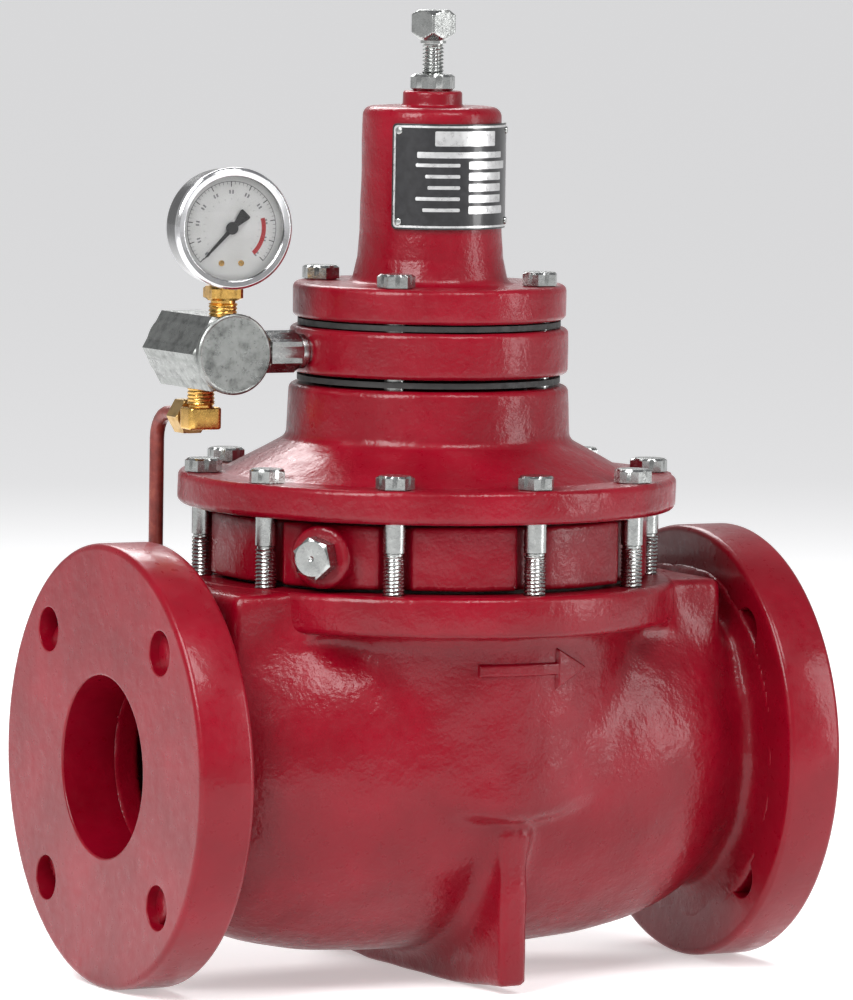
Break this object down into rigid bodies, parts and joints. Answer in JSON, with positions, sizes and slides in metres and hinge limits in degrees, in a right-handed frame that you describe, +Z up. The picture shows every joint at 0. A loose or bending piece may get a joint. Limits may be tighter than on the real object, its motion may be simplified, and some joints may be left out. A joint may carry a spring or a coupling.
{
  "type": "pilot-operated pressure reducing valve",
  "caption": "Flanged globe-type pressure reducing valve with a diaphragm bonnet, spring-adjusted pilot, adjusting screw, supply filter, pressure gauge and bent supply tube.",
  "frame": {"origin": "centre of the inlet flange face, on the flow axis", "axes": "+X along the flow, from inlet to outlet; +Z up along the stem; the gauge faces -Y"},
  "size_m": [0.31, 0.216, 0.4175],
  "materials": {
    "enamel": "gloss enamel over a cast surface",
    "steel": "turned and plain",
    "spring_steel": "drawn wire, oiled",
    "zinc_plate": "bright zinc plate",
    "zinc_cast": "dull zinc plate",
    "rubber": "matt",
    "gasket": "matt compressed fibre",
    "brass": "machined",
    "nameplate": "satin black with a bright border",
    "screen": "woven wire",
    "gauge_black": "gloss black",
    "pointer_black": "satin",
    "chrome": "polished",
    "glass": "clear",
    "dial_white": "satin",
    "tube_paint": "thin red-brown paint over copper"
  },
  "bodies": {
    "housing": {"body": "enamel", "seat_ring": "steel", "seat_o_ring": "rubber", "casing_gasket": "gasket", "lower_casing": "enamel", "port_plug": "zinc_plate", "stem_guide": "brass", "stem_o_ring": "rubber", "main_diaphragm": "rubber", "main_spring": "spring_steel", "bonnet": "enamel", "bonnet_screws": "zinc_plate", "pilot_seat": "steel", "pilot_cage": "steel", "pilot_plug_spring": "spring_steel", "lower_pilot_diaphragm": "rubber", "pilot_body": "enamel", "upper_pilot_diaphragm": "rubber", "spring_housing": "enamel", "pilot_screws": "zinc_plate", "adjusting_spring": "spring_steel", "nameplate": "nameplate", "nameplate_rivets": "zinc_plate", "hex_nipple": "zinc_plate", "filter_body": "zinc_cast", "filter_cap": "zinc_cast", "filter_element": "screen", "gauge_socket": "brass", "gauge_case": "gauge_black", "gauge_bezel": "chrome", "gauge_window": "glass", "gauge_dial": "dial_white", "gauge_dial_screws": "brass", "gauge_movement": "brass", "bourdon_tube": "brass", "tube_elbow": "brass", "elbow_nut": "brass", "supply_tube": "tube_paint", "body_connector": "brass", "connector_nut": "brass"},
    "main_trim": {"stem": "steel", "stem_nut": "zinc_plate", "ratio_plug": "steel", "seat_disc": "rubber", "disc_holder": "steel", "lower_diaphragm_plate": "steel", "upper_diaphragm_plate": "steel", "diaphragm_nut": "zinc_plate"},
    "pilot_trim": {"pilot_hub": "steel", "lower_pilot_washer": "steel", "upper_pilot_plate": "steel", "hub_nut": "zinc_plate", "pilot_plug": "steel"},
    "button": {"spring_button": "steel"},
    "screw": {"adjusting_screw": "zinc_plate"},
    "nut_seal": {"lock_nut_seal": "gasket"},
    "nut": {"lock_nut": "zinc_plate"},
    "pointer": {"gauge_pointer": "pointer_black"}
  },
  "joints": [
    {"name": "main_valve_travel", "type": "slide", "parent": "housing", "child": "main_trim", "axis": [0, 0, 1], "range_m": [0, 0.014], "stiffness_N_per_m": 8000, "springref_m": -0.02, "deforming": ["main_spring", "main_diaphragm"]},
    {"name": "pilot_travel", "type": "slide", "parent": "housing", "child": "pilot_trim", "axis": [0, 0, 1], "range_m": [-0.001, 0.0007], "stiffness_N_per_m": 40000, "deforming": ["lower_pilot_diaphragm", "upper_pilot_diaphragm", "pilot_plug_spring"]},
    {"name": "adjusting_screw_travel", "type": "slide", "parent": "housing", "child": "button", "axis": [0, 0, 1], "range_m": [-0.01112, 0], "deforming": ["adjusting_spring"]},
    {"name": "adjusting_screw_turn", "type": "hinge", "parent": "button", "child": "screw", "pos_m": [0.155, 0, 0.3], "axis": [0, 0, 1], "range_deg": [-2520, 0]},
    {"name": "lock_nut_lift", "type": "slide", "parent": "housing", "child": "nut_seal", "axis": [0, 0, 1], "range_m": [0, 0.0016]},
    {"name": "lock_nut_turn", "type": "hinge", "parent": "nut_seal", "child": "nut", "pos_m": [0.155, 0, 0.29], "axis": [0, 0, 1], "range_deg": [0, 360]},
    {"name": "gauge_pointer_turn", "type": "hinge", "parent": "housing", "child": "pointer", "pos_m": [0.055, 0, 0.2295], "axis": [0.1219, 0.9925, 0], "range_deg": [0, 270], "stiffness_Nm_per_rad": 0.001}
  ],
  "couplings": [
    {"joint": "adjusting_screw_travel", "follows": "adjusting_screw_turn", "m_per_rad": 0.00025266},
    {"joint": "lock_nut_lift", "follows": "lock_nut_turn", "m_per_rad": 0.00025266}
  ]
}
